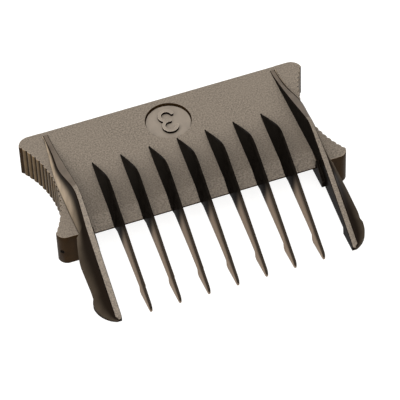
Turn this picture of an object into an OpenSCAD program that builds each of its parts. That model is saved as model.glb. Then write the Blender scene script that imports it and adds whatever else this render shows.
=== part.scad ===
// Guard comb for a hair clipper: a flat deck, seven fin teeth, two broad outer teeth
// and two ribbed sides that spring apart when the guard goes over the blade.
// Origin: middle of the footprint, on the surface that it stands on.
// +X to the right side, +Y to the back of the deck, +Z up. Millimetres.

/* [Deck] */
// Height of the deck's top above the surface it stands on
deck_top = 6; // [5:0.1:8]
// Thickness of the deck
deck_thick = 1.2; // [0.8:0.05:1.6]
// Back edge of the deck, behind the middle
deck_back = 17.75; // [15:0.05:24]
// Front edge of the deck, ahead of the middle
deck_front = 3.7; // [2.5:0.05:4.5]
// Length of the slope that thins the front edge
bevel_length = 2.6; // [1:0.1:3.5]
// Drop of that slope
bevel_drop = 0.95; // [0.3:0.05:1.1]

/* [Size mark] */
// Radius of the round recess
disc_radius = 3.65; // [2.5:0.05:4.5]
// Deck left behind the recess
disc_back = 1.13; // [0.6:0.01:2]
// Deck left between the recess and the thin teeth
disc_front = 0.42; // [0.3:0.01:2]
// Depth of the recess floor below the deck
disc_depth = 0.35; // [0.15:0.05:0.6]
// Thickness of the smooth floor piece
disc_thick = 0.3; // [0.2:0.05:0.4]
// Stroke of the numeral
stroke_width = 0.55; // [0.3:0.05:0.8]
// Height of the numeral above the recess floor
stroke_height = 0.3; // [0.1:0.02:0.34]

/* [Teeth] */
// Number of thin teeth
tooth_count = 7; // [5:2:9]
// Distance from one tooth to the next, the outer ones included
pitch = 4.6; // [3.8:0.1:5.6]
// Front of every tooth, ahead of the middle
tip_reach = 17.75; // [15:0.05:21]
// Rise of a thin tooth's back, per millimetre forward
rise_slope = 0.7; // [0.5:0.02:0.9]
// Fall of the comb's face, per millimetre forward
face_slope = 0.545; // [0.45:0.005:0.56]
// Height of the comb's face over the tips
tip_height = 1.75; // [1.4:0.05:2.6]
// Rounding where back and face meet
crest_round = 0.8; // [0.3:0.05:1]
// Half thickness of a tooth at its crest
crest_half = 0.2; // [0.12:0.01:0.3]
// Half thickness of a tooth at its root
root_half = 0.84; // [0.5:0.02:1]
// Half thickness at the foot
foot_half = 0.5; // [0.35:0.01:0.6]
// Depth of a tooth's underside below the deck's top, where it leaves the deck
tooth_drop = 2; // [1.6:0.05:2.4]
// Height of the underside behind the foot
heel_under = 1.8; // [1.4:0.05:2.4]
// Length of the foot
foot_length = 3.9; // [3:0.1:5]
// Height of the foot's sole above the surface
sole_height = 0.5; // [0:0.05:0.6]

/* [Outer teeth] */
// Deck left behind an outer tooth
outer_back = 0.85; // [0.5:0.05:2]
// Rise of an outer tooth's back, up to its crest
outer_rise = 4.9; // [3.5:0.1:5.5]
// Length over which the back rises that much
outer_run = 15.2; // [12:0.1:18]
// Width of the flat strip along the crest
strip_width = 0.95; // [0.7:0.05:1.1]
// Reach of the flared skirt outside the inner face
flare_reach = 3; // [2.4:0.1:3.6]
// Length over which the flare widens behind its widest part on the deck
flare_run = 11; // [8:0.5:13]
// Length over which the flare drops down ahead of the sides
skirt_length = 4.2; // [3:0.1:6]

/* [Sides] */
// Waist of the grips, outside the outer teeth's inner faces
waist_out = 2.1; // [1.9:0.05:3]
// Depth of the hollow that the fingers press into
grip_depth = 2.9; // [2.2:0.1:3.5]
// Length of the back corner behind a grip
corner_length = 1.55; // [1:0.05:2]
// Length of the front post ahead of a grip, measured from the deck's front edge
post_length = 1.3; // [1:0.05:2]
// Thickness of a side wall
wall = 1.05; // [0.85:0.05:1.3]
// Number of finger ribs on each side
rib_count = 20; // [10:1:26]
// Height of a finger rib
rib_height = 0.28; // [0.15:0.01:0.35]
// Width of a front post
post_width = 3; // [2.4:0.1:3.4]
// Length of a front post below the deck
post_depth = 2.95; // [2:0.05:3.5]
// Height of the gate dimple on the left post
dimple_height = 2.6; // [1:0.1:4]
// Width of the gate dimple
dimple_width = 0.5; // [0.3:0.05:0.8]
// Nose radius of a front post
post_nose = 1.45; // [1:0.05:1.5]
// Radius of the back corners
corner_radius = 1.9; // [1:0.05:2.2]

/* [Blade fit] */
// How far the blade's seat stands proud of the deck's sides
seat_step = 0.1; // [0.05:0.01:0.2]
// Thickness of a rail that guides the blade, inside the outer teeth
rail_thick = 0.5; // [0.4:0.05:0.8]
// Depth of a rail's lower edge below the deck's top
rail_drop = 2.65; // [2:0.05:3]
// Deck left behind a rail
rail_back = 3; // [1:0.1:5]
// Front of a rail, ahead of the middle
rail_front = 6.5; // [5:0.1:8]
// How far a snap lug stands into the bay
lug_reach = 0.55; // [0.3:0.05:0.7]
// Length of a snap lug
lug_length = 5; // [3:0.5:8]
// Gap that lets the sides move beside the deck
side_gap = 0.12; // [0.08:0.01:0.15]
// Gap under the outer teeth, over the moving sides
lift_gap = 0.2; // [0.15:0.01:0.25]

/* [Hidden] */
$fn = 64;

dark = [0.36, 0.32, 0.28];
pale = [0.46, 0.42, 0.37];
gloss = [0.16, 0.13, 0.11];

deck_under = deck_top - deck_thick;
bevel_start = bevel_length - deck_front;
disc_place = deck_back - disc_back - disc_radius;
tooth_start = disc_place - disc_radius - disc_front;
tooth_under = deck_top - tooth_drop;
outer_face = (tooth_count + 1) / 2 * pitch;
outer_start = deck_back - outer_back;
flare_full = outer_start - flare_run;
rail_face = outer_face - rail_thick;
waist_half = outer_face + waist_out;
deck_half = waist_half - wall - side_gap;
side_inner = deck_half + side_gap;
side_half = waist_half + grip_depth;
grip_rear = deck_back - corner_length;
grip_fore = post_length - deck_front;
grip_length = grip_rear - grip_fore;
grip_place = (grip_rear + grip_fore) / 2;
grip_radius = (grip_depth * grip_depth + grip_length * grip_length / 4) / (2 * grip_depth);
grip_angle = asin(grip_length / 2 / grip_radius);
edge = 0.1;
far = 60;
post_front = deck_front + 0.15;
skirt_front = post_front + edge;
heel = foot_length - tip_reach;
// Half length of the open bay between a side's corner and its post
web_half = 2.5;
// Gap round the recess floor
disc_gap = 0.02;
// Radius of the numeral's bowls, as a share of the recess, and the turn of their openings
bowl_share = 0.29;
upper_turn = -75;
lower_turn = -15;
// Nose of every tooth
nose_length = 0.6;
nose_fall = 0.5;
nose = nose_length - tip_reach;
// A thin tooth: least height over the deck, half thickness at its start and its tip,
// and its neck and sole as shares of the belly
crest_least = 0.15;
start_half = 0.12;
tip_half = 0.3;
swell_power = 0.75;
neck_share = 0.78;
sole_share = 0.7;
crest_share = 0.9;
// An outer tooth's crest: curve of its back, step under the comb's face, rounding
back_power = 1.25;
face_step = 0.1;
outer_round = 0.5;
// Strip on that crest: its least share, its swell and where the swell sits
strip_least = 0.75;
strip_swell = 0.6;
swell_place = 7;
swell_spread = 4;
strip_end = [-1, -5];
// Flare: width at its start, what it lacks over the deck and at the sides, and the foot's
// extra width, overrun and roundness
flare_first = 1;
deck_less = 1.75;
side_less = 0.75;
foot_more = 0.25;
foot_over = 0.05;
foot_power = 0.6;
// Lower edge of the flare: its drop under the deck's top, then its heights ahead of the sides
skirt_drop = [0.25, 0.9];
skirt_heights = [2.8, 2.2];
skirt_level = -8;
// Thickness of the rim, and of the foot's rim at the heel and at the tip
rim_thick = 0.35;
foot_rim = [1.1, 0.3];
// Bend of the hollow outer face, outwards and upwards
hollow_bend = [0.35, 0.38];
// A rail's front end: rise at the deck's edge and drop at its tip, from the deck's top
rail_rise = 0.6;
rail_fall = 1.4;
// Turn of the dimple round a post's nose
dimple_turn = 46;
// A snap lug's lower and upper height, its depth into the wall and its chamfers
lug_low = 1;
lug_high = 2.6;
lug_root = 0.5;
lug_chamfer = [0.6, 0.9];

// Share of the way from a to b, held between 0 and 1
function share(v, a, b) = max(0, min(1, (v - a) / (b - a)));
function mix(a, b, t) = a + (b - a) * t;
// Lower of two lines, rounded where they cross
function soft_min(a, b, k) = (a + b) / 2 - sqrt((a - b) * (a - b) / 4 + k * k);
// Height of the deck's top at y, the front slope included
function deck_z(y) = deck_top - bevel_drop * share(y, bevel_start, -deck_front);
// Height of the comb's face at y
function face_z(y) = tip_height + face_slope * (y + tip_reach);
// Stations along Y: the deck, its edge, the underside, the heel and the foot
function steps(a, b, n) = [for (i = [0:n]) mix(a, b, i / n)];
function stations(start) = concat(
    steps(start, bevel_start, 9),
    steps(bevel_start - 0.6, -deck_front, 2),
    steps(-deck_front - 0.25, heel, 6),
    steps(heel - 0.15, nose, 5),
    [0.2 - tip_reach, -tip_reach]);
// Underside of a tooth ahead of the deck, with its heel step
function under_z(y) = y < heel - edge ? sole_height
    : mix(tooth_under, heel_under, share(y, -deck_front, heel));
function nose_drop(y) = nose_fall * pow(share(y, nose, -tip_reach), 2);

// A closed skin through matching rings, from the back one to the front one
module loft(rings) {
    n = len(rings[0]);
    last = len(rings) - 1;
    points = [for (ring = rings) each ring];
    sides = [for (i = [0:last - 1], j = [0:n - 1]) let (k = (j + 1) % n)
        each [[i * n + j, (i + 1) * n + k, i * n + k],
              [i * n + j, (i + 1) * n + j, (i + 1) * n + k]]];
    back_cap = [for (j = [0:n - 1]) j];
    front_cap = [for (j = [n - 1:-1:0]) last * n + j];
    polyhedron(points, concat(sides, [back_cap, front_cap]));
}

// A profile drawn in Y and Z, centred on x = 0 with this width
module across(width) {
    translate([-width / 2, 0, 0]) rotate([90, 0, 90]) linear_extrude(width) children();
}

module both_ways(left) {
    mirror([left ? 1 : 0, 0, 0]) children();
}

module base_plate() {
    color(dark) difference() {
        across(2 * deck_half) polygon([
            [deck_back, deck_under], [deck_back, deck_top - edge], [deck_back - edge, deck_top],
            [-deck_front, deck_top], [-deck_front, deck_under]]);
        across(2 * outer_face) polygon([
            [bevel_start, deck_top], [-deck_front, deck_top - bevel_drop],
            [-deck_front - 1, deck_top - bevel_drop], [-deck_front - 1, deck_top + 1],
            [bevel_start, deck_top + 1]]);
        translate([0, disc_place, deck_top - disc_depth - disc_thick])
            cylinder(r = disc_radius, h = deck_thick);
        for (left = [true, false])
            both_ways(left) translate([rail_face, -far, deck_under - 1])
                cube([far, 2 * far, 1 + seat_step]);
    }
}

module size_disc() {
    color(pale) translate([0, disc_place, deck_top - disc_depth - disc_thick])
        cylinder(r = disc_radius - disc_gap, h = disc_thick);
}

// One bowl of the numeral, open for a quarter turn from this angle
module bowl(r, opening) {
    rotate(opening) {
        difference() {
            circle(r = r + stroke_width / 2);
            circle(r = r - stroke_width / 2);
            square(2 * r);
        }
        for (end = [[r, 0], [0, r]])
            translate(end) circle(d = stroke_width, $fn = 24);
    }
}

module size_numeral() {
    bowl_radius = disc_radius * bowl_share;
    color(pale) translate([0, disc_place, deck_top - disc_depth])
        linear_extrude(stroke_height) {
            translate([0, bowl_radius]) bowl(bowl_radius, upper_turn);
            translate([0, -bowl_radius]) bowl(bowl_radius, lower_turn);
        }
}

function tooth_back_z(y) = deck_top + rise_slope * (tooth_start - y);
function crest_z(y) =
    let (z = soft_min(tooth_back_z(y), face_z(y), crest_round) - nose_drop(y))
    y > 0 ? max(deck_z(y) + crest_least, z) : z;

function tooth_ring(x, y) =
    let (over = y > -deck_front - edge,
         along = share(y, tooth_start, -deck_front),
         belly = over ? mix(start_half, root_half, pow(along, swell_power))
             : y > heel ? mix(root_half * neck_share, foot_half, share(y, -deck_front, heel))
             : mix(foot_half, tip_half, share(y, heel, nose)) - tip_half * nose_drop(y),
         top = min(crest_half, belly * crest_share),
         low = over ? deck_z(y) : under_z(y),
         high = crest_z(y),
         waist = low + (high - low) * (over ? 0.08 : 0.25),
         sole = over ? belly : belly * sole_share)
    [[x - sole, y, low], [x + sole, y, low], [x + belly, y, waist],
     [x + top, y, high - edge / 2], [x + top / 2, y, high], [x - top / 2, y, high],
     [x - top, y, high - edge / 2], [x - belly, y, waist]];

module tooth(number) {
    x = (number - (tooth_count + 1) / 2) * pitch;
    color(gloss) loft([for (y = stations(tooth_start)) tooth_ring(x, y)]);
}

// The outer tooth's crest, strip, flare and lower outer edge at y
function outer_crest_z(y) =
    let (back = deck_top + outer_rise * pow(max(0, outer_start - y) / outer_run, back_power))
    let (z = soft_min(back, face_z(y) - face_step, outer_round) - nose_drop(y))
    y > 0 ? max(deck_top + edge, z) : z;
function strip(y) = strip_width * (strip_least
    + strip_swell * exp(-pow((y - swell_place) / swell_spread, 2))
    + (1 - strip_least) * share(y, strip_end[0], strip_end[1]));
function flare(y) =
    y > -skirt_front
        ? flare_first + (flare_reach - deck_less) * sin(90 * share(y, outer_start, flare_full))
    : y > heel ? mix(flare_reach - side_less, flare_reach, skirt_turn(y))
    : max(2 * edge, (flare_reach + foot_more)
        * pow(max(0, 1 - pow((heel - y) / (foot_length + foot_over), 2)), foot_power));
function skirt_z(y) = y < heel - edge ? sole_height
    : y > -skirt_front
        ? deck_top - mix(skirt_drop[0], skirt_drop[1], share(y, outer_start, flare_full))
    : mix(mix(deck_top - skirt_drop[1], skirt_heights[0], skirt_turn(y)),
        skirt_heights[1], share(y, skirt_level, heel));
// How far the flare has dropped below the sides, just ahead of them
function skirt_turn(y) = sin(90 * share(y, -skirt_front, -skirt_front - skirt_length));

// Top edge of the foot's or the skirt's outer rim at y
function lip_z(y) = min(skirt_z(y)
    + (y < heel - edge ? mix(foot_rim[0], foot_rim[1], share(y, heel, -tip_reach)) : rim_thick),
    outer_crest_z(y) - edge);
function strip_reach(y) = min(strip(y), flare(y) * 0.8);

// Point of the hollow outer face at y: t is 0 at the strip and 1 at the rim
function flare_point(y, t) =
    let (high = outer_crest_z(y), lip = lip_z(y),
         turn_x = mix(strip_reach(y), flare(y), hollow_bend[0]),
         turn_z = mix(lip, high, hollow_bend[1]))
    [outer_face + (1 - t) * (1 - t) * strip_reach(y) + 2 * t * (1 - t) * turn_x + t * t * flare(y),
     y, (1 - t) * (1 - t) * high + 2 * t * (1 - t) * turn_z + t * t * lip];

function outer_ring(y) =
    let (high = outer_crest_z(y),
         low = y > -deck_front ? min(tooth_under, high - 1) : under_z(y))
    concat([[outer_face, y, low], [outer_face + flare(y), y, skirt_z(y)]],
        [for (t = [1:-0.2:0.1]) flare_point(y, t)],
        [[outer_face + strip_reach(y), y, high - edge / 2],
         [outer_face + strip_reach(y) * 0.88, y, high],
         [outer_face, y, high]]);

module outer_tooth() {
    color(dark) difference() {
        loft([for (y = stations(outer_start)) outer_ring(y)]);
        translate([0, -skirt_front, -1])
            cube([far, far, deck_top + 1]);
    }
}

module blade_rail() {
    start = deck_back - rail_back;
    high = deck_under + seat_step;
    low = deck_top - rail_drop;
    color(gloss) translate([rail_face + rail_thick / 2, 0, 0])
        across(rail_thick) polygon([
            [start, high], [-deck_front, high], [-deck_front, deck_top + rail_rise],
            [-rail_front, deck_top - rail_fall], [-rail_front, low], [start, low]]);
}

// Zigzag edge of the finger hollow, closed far outside
module grip_hollow() {
    middle = waist_half + grip_radius;
    ribs = 2 * rib_count;
    translate([0, grip_place]) polygon(concat(
        [for (i = [0:ribs]) let (a = mix(-grip_angle, grip_angle, i / ribs),
            r = grip_radius + (i % 2 == 0 ? 0 : rib_height))
            [middle - r * cos(a), r * sin(a)]],
        [[middle, grip_length / 2], [middle, -grip_length / 2]]));
}

// Outline of one side seen from above, with its round back corner and nose
module side_outline(inset = 0) {
    corner = corner_radius - inset;
    difference() {
        union() {
            translate([side_inner, 0])
                square([side_half - inset - side_inner, deck_back - corner_radius]);
            translate([side_inner, 0])
                square([side_half - corner_radius - side_inner, deck_back - inset]);
            translate([side_half - corner_radius, deck_back - corner_radius])
                circle(r = corner);
            translate([side_inner, post_nose - post_front])
                square([side_half - side_inner, post_front - post_nose]);
            translate([side_inner, -post_front])
                square([side_half - post_nose - side_inner, post_front]);
            translate([side_half - post_nose, post_nose - post_front])
                circle(r = post_nose);
        }
        grip_hollow();
    }
}

// Round outline of the band's inner face, as flats that the pieces beside it share
module band_round() {
    flats = 128;
    r = grip_radius + wall;
    translate([waist_half + grip_radius, grip_place])
        polygon([for (i = [1:flats]) [r * cos(360 * i / flats), r * sin(360 * i / flats)]]);
}

// The ribbed band, without the back corner and the front post
module grip_band() {
    margin = 0.6;
    intersection() {
        side_outline();
        band_round();
        translate([0, grip_place - grip_length / 2 + margin])
            square([far, grip_length - 2 * margin]);
    }
}

// Where the outer tooth's flare crosses the deck's top, with room to move
function shadow_x(y) = 0.08 + max([for (t = [0:0.02:1]) let (p = flare_point(y, t))
    p[2] >= deck_top - 0.03 ? p[0] : outer_face]);

// Room over the moving side for the outer tooth, which stands across it
module tooth_shadow() {
    rows = [for (y = stations(outer_start)) if (y > -deck_front) y];
    translate([0, 0, deck_top - lift_gap]) linear_extrude(1) polygon(concat(
        [for (y = rows) [shadow_x(y), y]],
        [[shadow_x(-deck_front), -far], [0, -far], [0, outer_start + edge],
         [shadow_x(outer_start), outer_start + edge]]));
}

module side_piece(from, to) {
    intersection() {
        difference() {
            side_outline();
            grip_band();
        }
        translate([0, from]) square([far, to - from]);
    }
}

module grip_wall() {
    color(dark) difference() {
        linear_extrude(deck_top) grip_band();
        tooth_shadow();
    }
}

module rear_corner() {
    start = grip_place + web_half;
    color(dark) difference() {
        union() {
            translate([0, 0, deck_under]) linear_extrude(deck_thick) side_piece(start, far);
            linear_extrude(deck_under) difference() {
                side_piece(start, far);
                side_outline(wall);
            }
        }
        tooth_shadow();
    }
}

module front_post(dimple) {
    finish = grip_place - web_half;
    color(dark) difference() {
        union() {
            translate([0, 0, deck_under]) linear_extrude(deck_thick) side_piece(-far, finish);
            linear_extrude(deck_under) intersection() {
                side_piece(-far, finish);
                translate([side_half - post_width, -post_front]) square([far, post_depth]);
            }
        }
        tooth_shadow();
        if (dimple)
            translate([side_half - post_nose, post_nose - post_front, dimple_height])
                rotate([90, 0, dimple_turn]) translate([0, 0, post_nose])
                    cylinder(d = dimple_width, h = dimple_width, center = true, $fn = 24);
    }
}

module snap_lug() {
    root = side_inner - edge;
    back = side_inner + lug_root;
    tip = side_inner - lug_reach;
    color(dark) difference() {
        translate([0, grip_place + lug_length / 2, 0]) rotate([90, 0, 0])
            linear_extrude(lug_length) polygon([
                [back, lug_low], [back, lug_high], [root, lug_high],
                [tip, lug_high - lug_chamfer[0]], [tip, lug_high - lug_chamfer[1]],
                [root, lug_low]]);
        linear_extrude(deck_top) band_round();
    }
}

base_plate();
size_disc();
size_numeral();
for (i = [1:tooth_count])
    tooth(i);
both_ways(true) outer_tooth();  // outer_tooth_left
both_ways(false) outer_tooth();  // outer_tooth_right
both_ways(true) blade_rail();  // blade_rail_left
both_ways(false) blade_rail();  // blade_rail_right
both_ways(true) grip_wall();  // grip_wall_left
both_ways(false) grip_wall();  // grip_wall_right
both_ways(true) rear_corner();  // rear_corner_left
both_ways(false) rear_corner();  // rear_corner_right
both_ways(true) front_post(true);  // front_post_left
both_ways(false) front_post(false);  // front_post_right
both_ways(true) snap_lug();  // snap_lug_left
both_ways(false) snap_lug();  // snap_lug_right
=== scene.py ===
"""Builds the looks of a clipper guard comb around its fixed frame.

The guard is a textured deck with a round size mark, seven thin fin teeth, two broad
outer teeth with flared faces, and two ribbed sides that spring apart over the blade.
Shapes are worked out in millimetres and turned into metres when a piece is made.
"""

import math

import bmesh
import bpy
from bpy.props import FloatProperty, FloatVectorProperty, IntProperty, PointerProperty
from mathutils import Matrix, Vector


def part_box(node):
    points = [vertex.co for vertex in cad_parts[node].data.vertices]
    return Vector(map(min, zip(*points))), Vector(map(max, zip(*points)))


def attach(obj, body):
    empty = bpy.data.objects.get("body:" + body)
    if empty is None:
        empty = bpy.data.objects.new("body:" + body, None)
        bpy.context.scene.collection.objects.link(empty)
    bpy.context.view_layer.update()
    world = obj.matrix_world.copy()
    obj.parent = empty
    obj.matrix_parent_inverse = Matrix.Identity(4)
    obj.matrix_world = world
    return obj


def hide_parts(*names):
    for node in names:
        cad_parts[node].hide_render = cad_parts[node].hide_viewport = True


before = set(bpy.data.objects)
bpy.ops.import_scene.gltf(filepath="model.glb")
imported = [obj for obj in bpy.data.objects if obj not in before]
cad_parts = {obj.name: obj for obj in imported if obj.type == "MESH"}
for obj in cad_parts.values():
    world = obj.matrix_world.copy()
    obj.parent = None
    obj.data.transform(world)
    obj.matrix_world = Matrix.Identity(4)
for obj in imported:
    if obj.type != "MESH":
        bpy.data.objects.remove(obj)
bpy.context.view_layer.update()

bl_info = {
    "name": "Guard comb",
    "version": (1, 0, 0),
    "blender": (4, 5, 0),
    "location": "View3D > Sidebar > Guard comb",
    "description": "Builds a clipper guard comb from its frame",
    "category": "Object",
}

MM = 0.001
SIDES = {"left": -1, "right": 1}


def span(node):
    """Lowest and highest corner of a node of the frame, in millimetres."""
    low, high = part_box(node)
    return low / MM, high / MM


# Deck and size mark, in millimetres
PLATE_LOW, PLATE_HIGH = span("base_plate")
DECK_TOP = PLATE_HIGH.z
DECK_UNDER = PLATE_LOW.z
DECK_BACK = PLATE_HIGH.y
DECK_FRONT = PLATE_LOW.y
SLOPE_LENGTH = 2.6
SLOPE_DROP = 0.95
SLOPE_START = DECK_FRONT + SLOPE_LENGTH
SEAT_STEP = 0.1
BACK_ROUND = 0.16
FRONT_LIP = 0.1
ROOT_SUNK = 0.02
# The recess is cut wider than its floor's solid and the floor is made narrower and lower,
# which leaves a ring groove round it.
RECESS_GAP = 0.02
MOAT = 0.13
FLOOR_SINK = 0.18
MARK_FLATS = 96

# Thin teeth
TEETH = sorted(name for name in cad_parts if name.startswith("tooth_"))
TOOTH_LOW, TOOTH_HIGH = span(TEETH[0])
TIP = TOOTH_LOW.y
TOOTH_START = TOOTH_HIGH.y
ROOT_HALF = (TOOTH_HIGH.x - TOOTH_LOW.x) / 2
SOLE = TOOTH_LOW.z
RISE_SLOPE = 0.7
FACE_SLOPE = 0.545
TIP_HEIGHT = 1.75
CREST_BLEND = 0.8
CREST_LEAST = 0.12
START_HALF = 0.1
SWELL_POWER = 0.75
NECK_SHARE = 0.78
SOLE_SHARE = 0.7
FOOT_HALF = 0.5
TIP_HALF = 0.3
FOOT_LENGTH = 3.9
HEEL = TIP + FOOT_LENGTH
UNDER_FRONT = DECK_TOP - 2
UNDER_HEEL = 1.8
NOSE = 0.6
NOSE_DROP = 0.5
# How far ahead of the deck the teeth's sides start to turn pale with a painted reflection, and have
# turned fully pale
REFLECTION_RAMP = (2.2, 4.2)
CREST_REFLECTION = 0.1

# Outer teeth
OUTER_LOW, OUTER_HIGH = span("outer_tooth_right")
OUTER_FACE = OUTER_LOW.x
OUTER_START = OUTER_HIGH.y
FOOT_FLARE = OUTER_HIGH.x - OUTER_FACE
FLARE_REACH = FOOT_FLARE - 0.25
OUTER_RISE = 4.9
OUTER_RUN = 15.2
OUTER_POWER = 1.25
OUTER_BLEND = 0.5
OUTER_LESS = 0.1
FLARE_FIRST = 1
FLARE_LESS = 0.75
FLARE_RUN = 11
FOOT_LEAST = 0.2
FOOT_POWER = 0.6
STRIP_WIDTH = 0.95
STRIP_LEAST = 0.75
STRIP_SWELL = 0.6
STRIP_END = 0.25
STRIP_SHARE = 0.8
STRIP_LEAN = 0.2
STRIP_ROUND = 0.08
CREST_PLACE = 2.2
RIM_THICK = 0.35
RIM_START = 0.25
FOOT_RIM = (1.1, 0.3)
SKIRT_LENGTH = 4.2
SKIRT_DROP = 0.9
SKIRT_TURNED = 2.8
SKIRT_LEVEL = 2.2
HOLLOW_ACROSS = 0.35
HOLLOW_UP = 0.38
LIFT = 0.12
RIM_COLUMN = 3
CURVE_STEPS = 12

# Sides
POST_LOW, POST_HIGH = span("front_post_right")
BAND_LOW, BAND_HIGH = span("grip_wall_right")
SIDE_HALF = POST_HIGH.x
SIDE_INNER = span("rear_corner_right")[0].x
SIDE_GAP = 0.015
POST_FRONT = POST_LOW.y
SKIRT_FRONT = POST_FRONT - 0.1
BAND_MARGIN = 0.6
GRIP_LENGTH = BAND_HIGH.y - BAND_LOW.y + 2 * BAND_MARGIN
GRIP_PLACE = (BAND_HIGH.y + BAND_LOW.y) / 2
CORNER_RADIUS = 1.9
POST_NOSE = 1.45
POST_WIDTH = 3
POST_DEPTH = 2.95
WEB_HALF = 2.5
RIB_POWER = 0.6
DIMPLE_TURN = math.radians(-46)
DIMPLE_RADIUS = 0.36
DIMPLE_OUT = 0.06
DIMPLE_HEIGHT = 2.6


class GuardSizes(bpy.types.PropertyGroup):
    """Sizes that the frame leaves open."""
    edge_round: FloatProperty(
        name="Edge rounding", description="Rounding of the outer edges",
        default=0.08 * MM, min=0.01 * MM, max=0.2 * MM, precision=5, unit="LENGTH")
    crest_half: FloatProperty(
        name="Crest", description="Half thickness of a thin tooth at its crest",
        default=0.2 * MM, min=0.1 * MM, max=0.3 * MM, precision=5, unit="LENGTH")
    wall: FloatProperty(
        name="Wall", description="Thickness of a ribbed side wall",
        default=1.05 * MM, min=0.8 * MM, max=1.3 * MM, precision=5, unit="LENGTH")
    rib_depth: FloatProperty(
        name="Rib depth", description="Depth of the grooves between the finger ribs",
        default=0.28 * MM, min=0.1 * MM, max=0.35 * MM, precision=5, unit="LENGTH")
    rib_count: IntProperty(
        name="Ribs", description="Number of finger ribs on each side", default=20, min=8, max=30)
    stroke: FloatProperty(
        name="Stroke", description="Width of the numeral's stroke",
        default=0.55 * MM, min=0.3 * MM, max=0.8 * MM, precision=5, unit="LENGTH")


class GuardFinish(bpy.types.PropertyGroup):
    """Colours and gloss of the moulded plastic."""
    textured: FloatVectorProperty(
        name="Textured", description="Colour of the spark-textured faces",
        default=(0.145, 0.121, 0.097), min=0, max=1, subtype="COLOR")
    mark: FloatVectorProperty(
        name="Size mark", description="Colour of the smooth round floor and its numeral",
        default=(0.195, 0.166, 0.137), min=0, max=1, subtype="COLOR")
    polished: FloatVectorProperty(
        name="Polished", description="Colour of the polished tooth faces",
        default=(0.005, 0.004, 0.0032), min=0, max=1, subtype="COLOR")
    # Painted reflection: the paler colour the thin teeth's sides take beyond the deck, standing in
    # for the bright floor they mirror.
    free_end_reflection: FloatVectorProperty(
        name="Free ends", description="Colour of the thin teeth's sides beyond the deck",
        default=(0.215, 0.165, 0.125), min=0, max=1, subtype="COLOR")
    # Painted highlight: the colour the flares take where they turn up towards the light.
    runner: FloatVectorProperty(
        name="Flare", description="Colour of the outer teeth's smooth flares where they turn up",
        default=(0.285, 0.230, 0.172), min=0, max=1, subtype="COLOR")
    # Painted shade: the near-black colour of the flares' steep part below the strip.
    hollow: FloatVectorProperty(
        name="Flare hollow", description="Colour of the flares' steep part below the strip",
        default=(0.010, 0.007, 0.005), min=0, max=1, subtype="COLOR")
    satin: FloatVectorProperty(
        name="Satin", description="Colour of the outer crests' back slopes and the deck's underside",
        default=(0.105, 0.085, 0.068), min=0, max=1, subtype="COLOR")
    # The upright faces' dark colour is partly the smooth plastic's own and partly painted shade.
    side: FloatVectorProperty(
        name="Sides", description="Colour of the posts, corners and other upright faces",
        default=(0.019, 0.010, 0.0035), min=0, max=1, subtype="COLOR")
    rib: FloatVectorProperty(
        name="Ribs", description="Colour of the finger ribs",
        default=(0.084, 0.056, 0.029), min=0, max=1, subtype="COLOR")
    gloss: FloatProperty(
        name="Polish roughness", description="Roughness of the polished faces",
        default=0.2, min=0.05, max=0.6, subtype="FACTOR")
    grain: FloatProperty(
        name="Grain", description="Size of the spark texture's grain",
        default=0.24 * MM, min=0.1 * MM, max=1 * MM, precision=5, unit="LENGTH")


def sizes():
    """The guard's sizes, as the panel shows them."""
    return bpy.context.scene.guard_sizes


def looks():
    """The guard's colours and gloss, as the panel shows them."""
    return bpy.context.scene.guard_finish


# ---- curves of the guard, in millimetres ----

def share(value, start, end):
    """Share of the way from start to end, held between 0 and 1."""
    return max(0.0, min(1.0, (value - start) / (end - start)))


def mix(a, b, t):
    """The value a share t of the way from a to b."""
    return a + (b - a) * t


def ease(t):
    """A share that starts and ends gently."""
    return t * t * (3 - 2 * t)


def soft_min(a, b, blend):
    """Lower of two lines, rounded where they cross."""
    return (a + b) / 2 - math.sqrt((a - b) ** 2 / 4 + blend * blend)


def spread(start, end, count):
    """Evenly spaced values from start to end, both included."""
    return [mix(start, end, i / count) for i in range(count + 1)]


def deck_z(y):
    """Height of the deck's top, level and then down its front slope."""
    return DECK_TOP - SLOPE_DROP * share(y, SLOPE_START, DECK_FRONT)


def face_z(y):
    """Height of the comb's sloping face."""
    return TIP_HEIGHT + FACE_SLOPE * (y - TIP)


def nose_drop(y):
    """How far the rounded tip has fallen."""
    return NOSE_DROP * share(y, TIP + NOSE, TIP) ** 2


def under_z(y):
    """Underside of a tooth ahead of the deck, with its heel step."""
    return SOLE if y < HEEL - 0.1 else mix(UNDER_FRONT, UNDER_HEEL, share(y, DECK_FRONT, HEEL))


def stations(start):
    """Places along a tooth, from its start on the deck to just behind its tip."""
    return (spread(start, SLOPE_START, 26) + spread(SLOPE_START - 0.3, DECK_FRONT, 6)
            + spread(DECK_FRONT - 0.12, HEEL, 20) + spread(HEEL - 0.14, TIP + NOSE, 12)
            + spread(TIP + 0.5, TIP + 0.12, 4))


def rounded_end(ring, y, keep):
    """The ring moved to y and drawn in towards its middle, for a rounded tip."""
    middle = sum((Vector(p) for p in ring), Vector()) / len(ring)
    drawn = [middle + (Vector(p) - middle) * keep for p in ring]
    return [(p.x, y, p.z) for p in drawn]


# ---- making meshes ----

def loft(rings):
    """A closed skin through matching rings."""
    mesh = bmesh.new()
    rows = [[mesh.verts.new(p) for p in ring] for ring in rings]
    count = len(rings[0])
    for back, front in zip(rows, rows[1:]):
        for j in range(count):
            k = (j + 1) % count
            mesh.faces.new((back[j], back[k], front[k], front[j]))
    mesh.faces.new(rows[0])
    mesh.faces.new(list(reversed(rows[-1])))
    return mesh


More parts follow.
